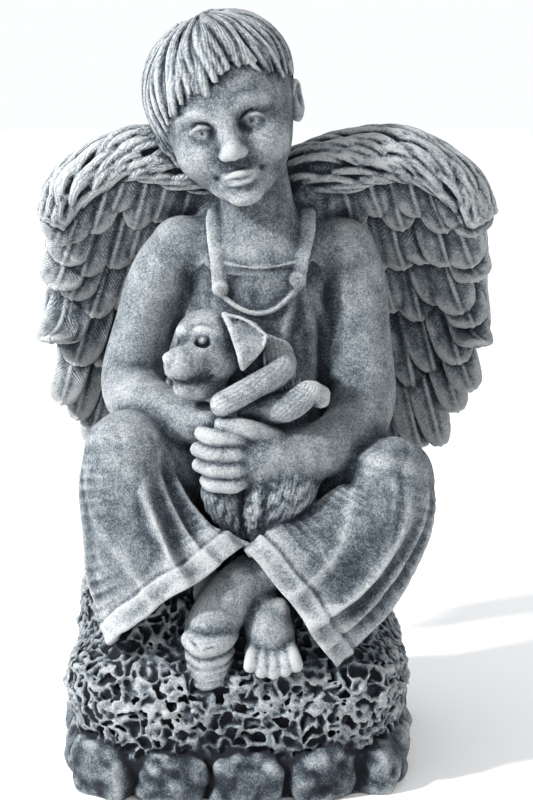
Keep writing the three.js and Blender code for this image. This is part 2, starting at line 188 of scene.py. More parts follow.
class Ball(Form):
    """An ellipsoid. Its axes are those of the matrix turn."""

    def __init__(self, centre, radii, turn=np.eye(3)):
        self.centre = np.array(centre, float)
        self.radii = np.array(radii, float)
        self.turn = turn
        reach = np.sqrt((turn**2) @ self.radii**2) + EDGE
        self.low = self.centre - reach
        self.high = self.centre + reach

    def local(self, x, y, z):
        dx, dy, dz = x - self.centre[0], y - self.centre[1], z - self.centre[2]
        return [dx * axis[0] + dy * axis[1] + dz * axis[2] for axis in self.turn.T.astype(np.float32)]

    def measure(self, x, y, z):
        gap = ellipse_gap(self.local(x, y, z), self.radii)
        where = np.nonzero(gap < self.edge)
        return where, gap[where]


class Stone(Ball):
    """A rounded block with half-sizes radii, turned by a matrix, with a slightly uneven skin."""

    power = 3.4  # 2 is an ellipsoid, and more is squarer

    def __init__(self, centre, radii, turn, seed):
        super().__init__(centre, radii, turn)
        self.seed = seed
        reach = np.linalg.norm(radii) + EDGE
        self.low = self.centre - reach
        self.high = self.centre + reach

    def measure(self, x, y, z):
        local = self.local(x, y, z)
        size = sum(np.abs(part / radius) ** self.power for part, radius in zip(local, self.radii))
        gap = (size ** (1 / self.power) - 1) * self.radii.min()
        where = np.nonzero(gap < EDGE)
        points = np.stack([part[where] for part in np.broadcast_arrays(*local)])
        uneven = 3.8 * value_noise(points, 19, self.seed) + 1.6 * value_noise(points, 8, self.seed + 1)
        return where, (gap[where] - uneven).astype(np.float32)


class Clay:
    """The distance to the surface at each point of a grid, and what the nearest surface is made of."""

    def __init__(self, low, high):
        self.low = np.array(low, float)
        count = np.ceil((np.array(high) - self.low) / CELL).astype(int) + 1
        self.axes = [(self.low[i] + CELL * np.arange(count[i])).astype(np.float32) for i in range(3)]
        self.gap = np.full(count, FAR, np.float32)
        self.matter = np.zeros(count, np.uint8)
        self.phase = np.zeros(count, np.float32)

    def window(self, low, high):
        """The slices between two corners, and the coordinates of their points."""
        slices = tuple(
            slice(int(np.searchsorted(axis, a)), int(np.searchsorted(axis, b)))
            for axis, a, b in zip(self.axes, low, high)
        )
        x, y, z = (axis[part] for axis, part in zip(self.axes, slices))
        return slices, (x[:, None, None], y[None, :, None], z[None, None, :])

    def add(self, form, matter, blend=1.0):
        """Joins a form to the clay, rounding the corner between them over about blend millimetres."""
        form.widen(blend)
        window, points = self.window(form.low, form.high)
        where, new = form.measure(*points)
        gap, kind = self.gap[window], self.matter[window]
        old = gap[where]
        share = np.clip(0.5 + 0.5 * (old - new) / blend, 0, 1)
        gap[where] = old + (new - old) * share - blend * share * (1 - share)
        kind[where] = np.where(new < old, matter, kind[where])
        if form.phase is not None:
            phase = self.phase[window]
            phase[where] = np.where(new < old, form.phase, phase[where])

    def carve(self, form, blend=1.0):
        """Cuts a form out of the clay."""
        form.widen(blend)
        window, points = self.window(form.low, form.high)
        where, new = form.measure(*points)
        gap = self.gap[window]
        old = gap[where]
        share = np.clip(0.5 - 0.5 * (old + new) / blend, 0, 1)
        gap[where] = old + (-new - old) * share + blend * share * (1 - share)

    def add_tubes(self, tubes, matter, **options):
        """Joins tubes in turn, each given as its stations and its blend."""
        for stations, blend in tubes:
            self.add(Tube(stations, **options), matter, blend)

    def add_balls(self, balls, matter):
        """Joins ellipsoids in turn, each given as its centre, its radii and its blend."""
        for centre, radii, blend in balls:
            self.add(Ball(centre, radii), matter, blend)

    def near(self, low, high, depth, matter):
        """Where a matter's surface is within depth, between two corners: indices and points of the grid."""
        window, _ = self.window(low, high)
        where = np.nonzero((np.abs(self.gap[window]) < depth) & (self.matter[window] == matter))
        where = tuple(part + piece.start for part, piece in zip(where, window))
        return where, np.stack([axis[part] for axis, part in zip(self.axes, where)])


# Noise


def value_noise(points, size, seed):
    """Smooth noise from -1 to 1 at points, with lumps of about that size."""
    table = np.random.default_rng(seed).uniform(-1, 1, (32, 32, 32)).astype(np.float32)
    scaled = points / size
    whole = np.floor(scaled).astype(int)
    part = scaled - whole
    part = part * part * (3 - 2 * part)
    total = 0
    for corner in np.ndindex(2, 2, 2):
        weight = 1
        for axis, step in enumerate(corner):
            weight = weight * (part[axis] if step else 1 - part[axis])
        total = total + weight * table[tuple((whole[axis] + corner[axis]) % 32 for axis in range(3))]
    return total


def cell_noise(points, size, seed):
    """Distances in cells to the nearest two of scattered points, and the nearest one's number."""
    table = np.random.default_rng(seed).uniform(0, 1, (4, 24, 24, 24)).astype(np.float32)
    scaled = points / size
    whole = np.floor(scaled).astype(int)
    first = np.full(points.shape[1], 9, np.float32)
    second = first.copy()
    name = np.zeros_like(first)
    for corner in np.ndindex(3, 3, 3):
        cell = [whole[axis] + corner[axis] - 1 for axis in range(3)]
        spot = tuple(c % 24 for c in cell)
        gap = sum((cell[axis] + table[axis][spot] - scaled[axis]) ** 2 for axis in range(3))
        closer = gap < first
        second = np.where(closer, first, np.minimum(second, gap))
        name = np.where(closer, table[3][spot], name)
        first = np.where(closer, gap, first)
    return np.sqrt(first), np.sqrt(second), name


def rise(value, low, high):
    """0 below low, 1 above high, and smooth in between."""
    t = np.clip((value - low) / (high - low), 0, 1)
    return t * t * (3 - 2 * t)


def turned(x=0, y=0, z=0):
    """A matrix that turns by degrees about Z, then Y, then X."""
    matrix = np.eye(3)
    for axis, degrees in ((0, x), (1, y), (2, z)):
        c, s = math.cos(math.radians(degrees)), math.sin(math.radians(degrees))
        i, j = [n for n in range(3) if n != axis]
        sign = -1 if axis == 1 else 1
        step = np.eye(3)
        step[i, i] = step[j, j] = c
        step[i, j], step[j, i] = -sign * s, sign * s
        matrix = matrix @ step
    return matrix


# Rock and cobbles

ROCK_CENTRE = np.array([-24.0, -24.0])
ROCK_SIZE = (270.0, 232.0, 190.0)
COBBLE_TOP = 43.0
COBBLE_WIDTH = 54.0


def rock_outline(angle, height):
    """The rock's size as a share at an angle: nearly square at the ground, rounder above, with slow lumps."""
    power = 5 - 2.4 * np.minimum(height / ROCK_SIZE[2], 1)
    c, s = np.abs(np.cos(angle)), np.abs(np.sin(angle))
    squared = (c**power + s**power) ** (-1 / power)
    return squared * (1 + 0.02 * np.sin(3 * angle + height / 31) + 0.014 * np.sin(7 * angle - height / 17))


class Rock(Form):
    """The rock between its foot and the seat, without its pits."""

    low = np.array([-170.0, -150.0, 0.0])
    high = np.array([125.0, 110.0, 196.0])
    heights = [0, 46, 74, 98, 112, 153, 184, 194]
    shares = [0.92, 0.96, 0.99, 0.95, 0.83, 0.7, 0.5, 0.3]  # its size at those heights
    backs = [0, 0, 0, 2, 8, 20, 26, 26]  # how far it leans back there

    def measure(self, x, y, z):
        share = np.interp(z, self.heights, self.shares)
        dx = (x - ROCK_CENTRE[0]) / (ROCK_SIZE[0] / 2)
        dy = (y - ROCK_CENTRE[1] - np.interp(z, self.heights, self.backs)) / (ROCK_SIZE[1] / 2)
        out = np.sqrt(dx**2 + dy**2)
        size = share * rock_outline(np.arctan2(dy, dx), z)
        gap = (out - size) * (ROCK_SIZE[1] / 2) * 0.9
        gap = np.maximum(gap, z - 190)
        where = np.nonzero(gap < EDGE)
        return where, gap[where]


def model_rock(clay):
    clay.add(Rock(), ROCK)
    clay.add_balls([((-103, -2, 118), (50, 70, 54), 14), ((48, -2, 96), (52, 70, 44), 14)], ROCK)


def pit_rock(clay):
    """Turns the rock's skin into a sponge of irregular pits with thin webs of stone between them."""
    where, points = clay.near(Rock.low, Rock.high, 13, ROCK)
    warp = np.stack([value_noise(points, 11, 11 + i) for i in range(3)])
    warp += 0.4 * np.stack([value_noise(points, 4.5, 14 + i) for i in range(3)])
    first, second, name = cell_noise(points + 4.6 * warp, 11.5, 5)
    worn = 0.16 * value_noise(points, 6, 7)
    pits = (4.0 + 6.5 * name) * rise(second - first + worn, 0.04, 0.36)
    first, second, name = cell_noise(points + 2 * warp, 6.4, 6)
    pits += 2.4 * name * rise(second - first, 0.08, 0.45)
    pits += 1.6 * value_noise(points, 24, 3) + 1.5 * value_noise(points, 5, 4) - 1.0
    low_down = rise(points[2], COBBLE_TOP - 12, COBBLE_TOP - 2)
    clay.gap[where] += (pits * low_down).astype(np.float32)


def model_cobbles(clay):
    """A ring of rounded stones set close together around the rock's foot."""
    draw = np.random.default_rng(31)
    angles = np.linspace(0, 2 * math.pi, 721)
    share = 0.885 * rock_outline(angles, 20.0)
    line = np.stack([share * np.cos(angles) * ROCK_SIZE[0] / 2, share * np.sin(angles) * ROCK_SIZE[1] / 2])
    walked = np.concatenate([[0], np.cumsum(np.linalg.norm(np.diff(line, axis=1), axis=0))])
    count = round(walked[-1] / COBBLE_WIDTH)
    for i in range(count):
        spot = (i + 0.5 + draw.uniform(-0.16, 0.16)) * walked[-1] / count
        x, y = (np.interp(spot, walked, row) for row in line)
        ahead = [np.interp((spot + 9) % walked[-1], walked, row) for row in line]
        facing = math.degrees(math.atan2(ahead[1] - y, ahead[0] - x)) - 90
        height = COBBLE_TOP + draw.uniform(-13, 3)
        turn = turned(z=facing) @ turned(x=draw.uniform(-12, 12), y=draw.uniform(-6, 6))
        wide = COBBLE_WIDTH / 2 * draw.uniform(0.88, 1.12)
        centre = (ROCK_CENTRE[0] + x, ROCK_CENTRE[1] + y, height / 2 - 3)
        clay.add(Stone(centre, (19, wide, height / 2 + 3), turn, 60 + i), COBBLE, 0.6)


# Legs and trousers


def leg_folds(angle, down):
    """Long folds that start at the knee and grow towards the hem: narrow ridges over broad valleys."""

    def ridge(turn):
        return (1 - np.abs(np.sin(turn))) ** 1.5

    swing = angle + 0.3 * np.sin(2.6 * down + 2 * angle)
    ridges = ridge(2.5 * swing + 0.5) + 0.6 * ridge(4.5 * swing + 1.1 - 1.3 * down)
    return 7 * rise(down, -0.1, 0.75) * (ridges - 0.42)


class Leg(Route):
    """A trouser leg: ellipses [centre, across, along] from the knee to the hem, with folds that fan out."""

    wall = 7.0
    hollow = 26  # how deep the hem is open
    cuff = 18.0

    def __init__(self, stations):
        rows = smooth([np.concatenate(station) for station in stations], 6)
        self.centres, self.across, self.along = rows[:, :3], rows[:, 3:6], rows[:, 6:]
        self.ahead = unit(self.centres[1] - self.centres[0])
        self.out = unit(self.centres[-1] - self.centres[-4])
        widest = max(np.linalg.norm(self.across, axis=1).max(), np.linalg.norm(self.along, axis=1).max())
        self.reach = widest + 12
        self.low = self.centres.min(axis=0) - self.reach
        self.high = self.centres.max(axis=0) + self.reach

    def measure(self, x, y, z):
        reach = np.full(len(self.centres), self.reach)
        tables = (self.centres, self.across, self.along)
        where, points, place, (centre, across, along) = self.around(reach, tables, x, y, z)
        offset = points - centre
        wide, deep = np.linalg.norm(across, axis=1), np.linalg.norm(along, axis=1)
        u = np.sum(offset * across, axis=1) / wide
        v = np.sum(offset * along, axis=1) / deep
        behind = (self.centres[0] - points) @ self.ahead
        beyond = np.where(place > 0, 0, np.maximum(behind, 0))
        gap = ellipse_gap((u, v, beyond), (wide, deep, 0.6 * deep))
        angle = np.arctan2(v / deep, u / wide)
        gap -= leg_folds(angle, place / (len(self.centres) - 1))
        past_hem = (points - self.centres[-1]) @ self.out
        past_hem = past_hem + 1.5 * np.sin(3 * angle + 0.8) + 0.8 * np.sin(7 * angle)
        band = rise(past_hem, -self.cuff - 1, -self.cuff + 1)
        gap += 1.1 * np.exp(-(((past_hem + self.cuff + 1.6) / 1.5) ** 2))
        gap -= 2.2 * band - 0.7 * band * np.exp(-(((past_hem + self.cuff / 2) / 4) ** 2))
        outside = np.maximum(gap, past_hem)
        hollow = np.maximum(gap + self.wall, -past_hem - self.hollow)
        return where, np.maximum(outside, -hollow)


def model_legs(clay):
    right = [
        ((-107, -76, 268), (31, 0, 4), (0, 32, 0)),
        ((-105, -84, 234), (36, 0, 12), (0, 34, 0)),
        ((-88, -92, 188), (43, 0, 28), (0, 35, 3)),
        ((-67, -99, 158), (51, 0, 41), (0, 33, 3)),
    ]
    left = [
        ((99, -76, 246), (31, 0, -4), (0, 31, 0)),
        ((90, -84, 218), (35, 0, -16), (0, 32, 0)),
        ((58, -96, 180), (37, 0, -34), (0, 33, 0)),
        ((18, -106, 149), (38, 0, -43), (0, 32, 0)),
    ]
    thighs = [
        ([(-34, 14, 214, 46), (-76, -38, 238, 42), (-105, -76, 262, 34)], 10),
        ([(22, 14, 212, 46), (66, -36, 226, 40), (98, -74, 242, 32)], 10),
    ]
    clay.add_tubes(thighs, CLOTH)
    clay.add_balls([((-86, -32, 204), (40, 54, 44), 14), ((66, -34, 194), (42, 52, 42), 14)], CLOTH)
    clay.add(Leg(right), CLOTH, 5)
    clay.add(Leg(left), CLOTH, 3)


def crease_cloth(clay):
    """Cuts the soft creases of worn cloth, which wander mostly downwards."""
    where, points = clay.near(clay.low, [axis[-1] for axis in clay.axes], 4, CLOTH)
    warp = np.stack([value_noise(points, 40, 81 + i) for i in range(3)])
    drawn = points * np.array([[1.0], [1.0], [0.5]]) + 12 * warp
    crease = sum(
        depth * (1 - rise(np.abs(value_noise(drawn, size, seed)), 0, 0.3))
        for size, depth, seed in ((40, 0.9, 91), (20, 0.4, 92))
    )
    clay.gap[where] += crease.astype(np.float32)


# Feet


def model_feet(clay):
    """One foot lies on its outer edge with its toes stacked, and the other stands flat beside it."""
    lying = [(8, -90, 178, 18), (-18, -100, 166, 18), (-34, -108, 148, 20), (-43, -112, 130, 20)]
    standing = [(-40, -90, 154, 17), (-8, -94, 148, 18), (2, -108, 130, 18), (4, -114, 116, 15)]
    clay.add_tubes([([*lying, (-46, -114, 114, 17)], 4), (standing, 4)], SKIN)
    instep_and_ankles = [
        ((4, -116, 115), (21, 14, 11), 6),
        ((4, -110, 128), (16, 17, 15), 6),
        ((-20, -110, 172), (8, 8, 9), 5),
        ((10, -108, 146), (8, 8, 9), 5),
    ]
    clay.add_balls(instep_and_ankles, SKIN)
    clay.carve(Ball((-46, -142, 98), (18, 13, 15)), 4)
    clay.add(Ball((-47, -114, 102), (13, 12, 16)), SKIN, 3)
    for height, size in ((125, 9.6), (112, 6.2), (104.5, 5), (99, 4.6), (93.5, 4.4)):
        rows = [
            (-57, -123, height + 2.4, 0.86 * size),
            (-48, -130.5, height, size),
            (-35, -127.5, height + 2, 0.9 * size),
            (-29, -117, height + 4, 0.8 * size),
        ]
        clay.add(Tube(rows, steps=3), SKIN, 1.6)
    clay.carve(Tube([(-58, -132, 131, 0.8), (-50, -140.6, 126, 1), (-40, -137, 127, 0.8)]), 0.8)
    tips = [(-13, 110, 4.6), (-4, 106, 5), (5, 105, 5.2), (14, 107, 5.1), (22.5, 111, 5.4)]
    for i, (x, z, size) in enumerate(tips):
        root = (0.72 * x + 1, -119, 121, size * 0.9)
        knuckle = (0.9 * x, -131, 0.5 * z + 62, size)
        clay.add(Tube([root, knuckle, (x, -135, z, size)], steps=3), SKIN, 1.8)
        clay.carve(Ball((x, -140.5, z + 2.8), (0.55 * size, 1.6, 0.5 * size)), 0.4)


# Torso, overalls, arms and hand


def model_torso(clay):
    rows = [
        (-8, 18, 214, 62, 46),
        (-8, 12, 262, 54, 42),
        (-6, 16, 330, 52, 40),
        (-5, 18, 376, 56, 38),
        (-5, 22, 398, 50, 32),
    ]
    clay.add(Tube(rows), CLOTH, 8)
    clay.add_balls([((x, 15, 318), (14, 18, 62), 6) for x in (-58, 50)], CLOTH)
    clay.add(Tube([(-62, 26, 402, 23), (-5, 24, 404, 30), (56, 26, 400, 23)]), SKIN, 12)
    clay.add(Ball((-6, 6, 398), (44, 24, 30)), SKIN, 12)
    clay.add(Tube([(-4, 24, 412, 31), (-10, 12, 462, 27)]), SKIN, 12)


def model_overalls(clay):
    """Straps, buttons, the rolled rim of the bib, a thin line above it and the folds under a button."""
    straps = [
        [(-36, -15, 376), (-38, -13, 400), (-41, 0, 422), (-40, 22, 434)],
        [(24, -15, 382), (27, -13, 402), (32, 0, 422), (32, 22, 434)],
    ]
    ends = [[(-30, 48, 424), (-6, 60, 370), (24, 62, 300)], [(24, 48, 424), (-4, 60, 370), (-38, 62, 300)]]
    for front, back in zip(straps, ends):
        clay.add(Tube([(*spot, 6.6, 2.3) for spot in front + back]), CLOTH, 0.6)
    for x, y, z in ((-36, -16, 379), (24, -15, 386)):
        clay.add(Ball((x, y - 1, z), (7, 4.6, 7)), CLOTH, 0.4)
        clay.carve(Ball((x, y - 6.5, z), (4.8, 3, 4.8)), 0.5)
        clay.add(Ball((x, y - 3.4, z), (2.2, 2, 2.2)), CLOTH, 0.6)
    rim = [(-36, -16, 374), (-21, -21.5, 364), (-6, -23, 360), (9, -21.5, 365), (24, -16, 379)]
    clay.carve(Tube([(x, y - 1, z - 3.6, 1.4) for x, y, z in rim]), 1)
    clay.add(Tube([(*spot, 2.1) for spot in rim]), CLOTH, 1.2)
    folds = [
        [(23, -14, 380, 2), (18, -18, 362, 3), (14, -21, 344, 3.4), (12, -22, 322, 3)],
        [(26, -13, 380, 2), (32, -11, 360, 3.2), (35, -8, 338, 4), (34, -8, 306, 4)],
        [(28, -11, 382, 2), (40, -3, 360, 3.2), (46, 3, 338, 3.6), (46, 3, 310, 3)],
    ]
    clay.add_tubes([([(x, y + 1.8, z, size) for x, y, z, size in fold], 6) for fold in folds], CLOTH)
    line = [(-32, -15.6, 399), (-19, -19.6, 397), (-5, -20.8, 396), (10, -19.4, 397.5), (23, -15.4, 400)]
    clay.add(Tube([(*spot, 0.9) for spot in line]), CLOTH, 1.5)


def model_arms(clay):
    right = [
        (-68, 26, 404, 25),
        (-84, 20, 380, 26),
        (-97, 14, 345, 24),
        (-107, -2, 302, 25),
        (-94, -38, 290, 23),
        (-44, -82, 286, 16),
    ]
    left = [
        (62, 26, 402, 25),
        (70, 22, 376, 26),
        (75, 12, 338, 24),
        (77, -8, 290, 26),
        (64, -46, 270, 24),
        (34, -80, 263, 21),
        (4, -93, 265, 18),
    ]
    clay.add_tubes([(right, 7), (left, 7)], SKIN)
    clay.add_balls([((-36, -84, 284), (17, 13, 14), 5), ((-12, -97, 266), (27, 13.5, 25), 6)], SKIN)
    for i, (size, tip) in enumerate(((6.6, -49), (6.8, -52), (6.6, -51), (5.8, -46))):
        height = 283 - 12.4 * i
        rows = [
            (-14, -100, 0.7 * height + 79, size),
            (-24, -107, height, size * 1.1),
            (-34, -109, height, size * 0.96),
            (-42, -107, height + 0.5, size * 1.02),
            (tip, -99, height + 1, size * 0.86),
        ]
        clay.add(Tube(rows, steps=3), SKIN, 2)
    thumb = [(6, -94, 278, 9), (-10, -103, 287, 8), (-22, -106, 291, 7.6), (-33, -104, 292, 6.6)]
    clay.add(Tube(thumb), SKIN, 1.6)


# Puppy


def fur(pitch, depth):
    """Relief of uneven grooves that run along a tube."""

    def relief(place, u, v):
        turn = np.arctan2(v, u) * 14
        wave = np.sin(turn * 6.28 / pitch + 2.2 * np.sin(9 * place + turn * 0.4))
        return depth * (np.abs(wave) - 0.6)

    return relief


def strands(pitch):
    """Fine grooves that run along a tube, counted across it."""

    def grain(place, u):
        return u / pitch + 0.5 * np.sin(8 * place)

    return grain


def model_puppy(clay):
    body = [
        ([(-4, -44, 320, 28), (-4, -50, 290, 35), (-6, -58, 240, 36), (-8, -62, 216, 26)], 4),
        ([(-24, -78, 262, 16), (-32, -88, 234, 18), (-22, -88, 204, 12)], 2),
        ([(24, -74, 256, 20), (14, -88, 236, 24), (0, -92, 206, 15)], 2),
        ([(-4, -96, 250, 9), (-8, -100, 226, 10), (-8, -96, 204, 7)], 2),
    ]
    paws = [
        ([(8, -62, 336, 13), (10, -84, 328, 11), (-8, -98, 321, 9.5), (-33, -104, 308, 9.5)], 2),
        ([(-12, -84, 300, 12), (14, -92, 303, 12), (32, -90, 313, 10), (40, -86, 309, 8)], 3),
    ]
    clay.add_tubes(body, FUR, relief=fur(6, 1.3), grain=strands(2.6))
    model_puppy_head(clay)
    clay.add_tubes(paws, FUR, grain=strands(3.2))
    for height in (311.5, 305.5):
        gap = [(-42.6, -106, height, 1), (-39.9, -111, height, 1.2), (-35, -113.6, height, 0.8)]
        clay.carve(Tube(gap), 0.6)
    clay.add_balls([((x, -87, z), (5, 5, 4.4), 3) for x, z in ((42, 306), (43, 313))], FUR)
    model_puppy_ear(clay)


def model_puppy_head(clay):
    """A round skull, a broad blunt muzzle over a short jaw, and deep-set eyes."""
    clay.add(Ball((-45, -67, 348), (26, 25, 25)), FUR, 5)
    clay.add(Tube([(-28, -60, 336, 22), (-10, -50, 322, 22)]), FUR, 5)
    clay.add(Tube([(-42, -80, 320, 12), (-54, -88, 317.5, 10.5), (-62, -92, 318.5, 8.5)]), FUR, 3)
    clay.add(Ball((-40, -82, 334), (17, 14, 15)), FUR, 5)
    clay.add(Tube([(-48, -80, 340, 18), (-58, -88, 338, 15), (-64, -92, 337, 13)]), FUR, 5)
    clay.add(Ball((-65, -93, 333), (11, 11, 9)), FUR, 4)
    mouth = [(-74, -99, 328, 1), (-66, -101, 324.5, 1.4), (-57, -100, 323.5, 1.5), (-46, -97, 325, 1.4)]
    clay.carve(Tube([*mouth, (-39, -93, 329, 1)]), 0.8)
    clay.add(Ball((-73, -97, 342), (5, 5, 4.6)), FUR, 3)
    clay.carve(Tube([(-76, -103, 339, 0.9), (-73, -104.5, 333, 1)]), 0.6)
    clay.carve(Ball((-48, -92, 353.5), (6.4, 4.4, 5.4)), 1.4)
    clay.add(Ball((-48, -87.4, 353.5), (4.3, 4.6, 4)), FUR, 0.4)
    clay.add(Tube([(-57, -84, 356, 1.6), (-49, -87.5, 362, 2.2), (-39, -86, 359, 1.8)]), FUR, 3)
    clay.carve(Ball((-68, -83, 352), (3, 4, 5)), 1.5)
    clay.add(Ball((-63, -78, 359), (5, 6, 4)), FUR, 5)


def model_puppy_ear(clay):
    """A folded flap that hangs to a point, with a thick rolled edge towards the face."""
    flap = [(-27, -76, 367, 6, 3), (-17, -83, 361, 13, 3), (-13, -89, 352, 13, 3), (-15, -93, 344, 7, 2.6)]
    clay.add(Tube([*flap, (-18, -95, 337, 3, 2.4)], side=(0.95, 0.3, -0.1)), FUR, 0.8)
    front = [(-32, -77, 371, 2.2), (-27, -85, 363, 2.6), (-22, -92, 350, 2.4), (-19, -96, 339, 2.2)]
    rims = [
        [*front, (-18, -97, 334, 2)],
        [(-18, -97, 334, 1.8), (-10, -94, 340, 1.2), (-2, -89, 350, 1.2), (0, -85, 357, 1.2)],
        [(-32, -77, 371, 1.8), (-16, -81, 368, 1.3), (0, -85, 357, 1.2)],
    ]
    clay.add_tubes([(rim, 0.8) for rim in rims], FUR)


# Head, in its own frame: +Z to the crown, -Y out of the face

HEAD_TURN = turned(x=4, y=-15)
HEAD_SEAT = np.array([-32.0, 2.0, 520.0])


def on_head(*spot):
    return HEAD_TURN @ np.array(spot, float) + HEAD_SEAT


def head_tube(rows):
    return Tube([(*on_head(*row[:3]), *row[3:]) for row in rows], side=HEAD_TURN[:, 0])


def head_ball(centre, radii, turn=np.eye(3)):
    return Ball(on_head(*centre), radii, HEAD_TURN @ turn)


def add_tube(clay, rows, blend):
    clay.add(head_tube(rows), SKIN, blend)


def add_ball(clay, centre, radii, blend):
    clay.add(head_ball(centre, radii), SKIN, blend)


def model_head(clay):
    add_ball(clay, (0, 6, 7), (55, 59, 53), 12)
    add_ball(clay, (0, -9, -19), (47, 45, 51), 10)
    add_ball(clay, (0, -33, -53), (24, 19, 17), 12)
    for side in (-1, 1):
        add_ball(clay, (25 * side, -33, -27), (19, 19, 19), 9)
        clay.carve(head_ball((19.5 * side, -57, -8), (14, 12, 9.5)), 5)
        brow = [(8 * side, -50, 3, 1.6), (19 * side, -49.6, 8, 2.1), (33 * side, -40.6, 4, 1.4)]
        add_tube(clay, brow, 8)
    add_tube(clay, [(0, -47, 4, 5.5), (0, -54, -10, 6), (0, -59, -22, 7)], 9)
    add_ball(clay, (0, -60, -26), (6.6, 6.2, 5.8), 6)
    for side in (-1, 1):
        add_ball(clay, (6.6 * side, -55.5, -28), (4.4, 5.4, 4.2), 3.5)
        clay.carve(head_ball((3.9 * side, -60, -33.6), (2.3, 3, 1.9)), 1)
        model_eye(clay, side)
        model_ear(clay, side)
    model_mouth(clay)


def model_eye(clay, side):
    """An open eye: the ball between two lids, with a cut ring round a raised iris and a deep pupil."""
    centre = np.array([19.5 * side, -38.6, -8.5])
    radius = 11.0

    def spot(across, up, lift):
        x, z = across * side, up
        return centre + np.array([x, -math.sqrt(max((radius + lift) ** 2 - x**2 - z**2, 0)), z])

    add_ball(clay, centre, (radius, radius, radius), 0.5)
    upper = [(-10.2, -2.2, 0.9), (-6, 3.2, 1.4), (0, 5.4, 1.7), (6, 3.8, 1.5), (10.6, -1.0, 0.9)]
    lower = [(-10, -2.6, 0.7), (-5, -5.2, 1), (0.5, -6.2, 1.1), (6, -5, 1), (10.4, -1.8, 0.7)]
    add_tube(clay, [(*spot(a, u, 0.8), r) for a, u, r in upper], 0.8)
    add_tube(clay, [(*spot(a, u, 0.4), r) for a, u, r in lower], 0.8)
    crease = [(-8, 4.4, 0.7), (0, 9.0, 0.9), (8, 6.4, 0.7)]
    clay.carve(head_tube([(*spot(a, u, 2.2), r) for a, u, r in crease]), 1)
    clay.carve(head_ball(spot(0, 0, 1.4), (4.4, 2.4, 4.4)), 0.4)
    add_ball(clay, spot(0, 0, -1.6), (3.2, 1.8, 3.2), 0.4)
    clay.carve(head_ball(spot(0, 0.2, 0.8), (1.7, 3.2, 1.7)), 0.4)


def model_ear(clay, side):
    clay.add(head_ball((53 * side, 4, -12), (6, 10, 15), turned(z=-18 * side)), SKIN, 3)
    clay.carve(head_ball((60 * side, 0, -10), (4.5, 6.5, 9.5)), 2)
    rim = [(52, -6, -5), (55, -3, 1), (57, 4, 3), (58, 10, -3), (56, 11, -14), (53, 4, -25), (51, -2, -25)]
    add_tube(clay, [(x * side, y, z, 2.2) for x, y, z in rim], 1.2)


def model_mouth(clay):
    """Closed lips, a little turned up at the corners."""
    clay.carve(head_tube([(0, -59, -37, 1.4), (0, -57.5, -41, 1.6)]), 3)
    for side in (-1, 1):
        upper = [(16 * side, -47, -44.6, 0.8), (9 * side, -52.5, -44.8, 2), (3 * side, -55, -43.8, 2.4)]
        add_tube(clay, [*upper, (0, -54.6, -44.6, 2.2)], 2.5)
        clay.carve(head_ball((18 * side, -48.5, -45), (1.8, 2.6, 2)), 3)
    lower = [(-13, -48, -47.6, 1.2), (-5, -53, -50.6, 2.8), (5, -53, -50.6, 2.8), (13, -48, -47.6, 1.2)]
    add_tube(clay, lower, 2.5)
    parting = [(-17, -49.5, -44.8, 0.8), (-7, -55.6, -47.4, 1), (7, -55.6, -47.4, 1), (17, -49.5, -44.8, 0.8)]
    clay.carve(head_tube(parting), 0.8)
    clay.carve(head_ball((0, -55.5, -57), (10, 3, 2)), 5)
    add_ball(clay, (0, -46, -64), (12, 8, 7), 8)


# How far the hair falls from the crown, in radians over the skull, by degrees round from the parting in front
HAIR_TURNS = [-180, -115, -88, -68, -45, -22, 0, 16, 34, 56, 78, 96, 120, 180]
HAIR_FALLS = [2.15, 2.2, 2.25, 2.0, 1.5, 1.36, 1.22, 1.0, 1.14, 1.42, 1.5, 1.62, 2.1, 2.15]
HAIR_RADII = (56.0, 61.0, 61.0)
HAIR_CENTRE = (0.0, 6.0, 8.0)


def hair_length(turn):
    return np.interp(np.degrees(turn), HAIR_TURNS, HAIR_FALLS, period=360)


def hair_strands(turn, fall, points):
    """How deep the grooves between strands are, from 0 to 1, and the count of strands passed."""
    bundles = 9 * turn + 1.6 * value_noise(points, 26, 21)
    strands = 27 * turn + 3.4 * value_noise(points, 18, 22) + 1.2 * fall
    groove = 0.55 * (1 - np.abs(np.sin(bundles)) ** 0.6) + 0.75 * (1 - np.abs(np.sin(strands)) ** 0.7)
    return groove, strands / math.pi


class HairCap(Form):
    """The mass of the hair: a skull-shaped cap that hangs straight below its widest level, with strands."""

    low = on_head(0, 0, 0) - 92
    high = on_head(0, 0, 0) + 92

    def measure(self, x, y, z):
        points = np.stack(np.broadcast_arrays(x, y, z)).reshape(3, -1)
        local = HEAD_TURN.T @ (points - HEAD_SEAT[:, None]) - np.array(HAIR_CENTRE)[:, None]
        a, b, c = (part / radius for part, radius in zip(local, HAIR_RADII))
        level = np.hypot(a, b)
        size = np.where(c > 0, np.hypot(level, c), level - 0.16 * c)
        gap = (size - 1) * 57
        index = np.nonzero(gap < EDGE)[0]
        index = index[c[index] > -0.9]
        a, b, c, level, gap, near = a[index], b[index], c[index], level[index], gap[index], local[:, index]
        turn = np.arctan2(a, -b)
        fall = np.where(c > 0, np.arctan2(level, c), math.pi / 2 - c)
        groove, _ = hair_strands(turn, fall, near)
        gap += 4.4 * groove * rise(fall, 0.05, 0.3) - 0.4 + 1.2 * value_noise(near, 30, 23)
        hem = (fall - hair_length(turn) + 0.12 + 0.1 * value_noise(near, 9, 24)) * 57
        gap = np.maximum(gap, hem)
        shape = np.broadcast_shapes(x.shape, y.shape, z.shape)
        return np.unravel_index(index, shape), gap.astype(np.float32)


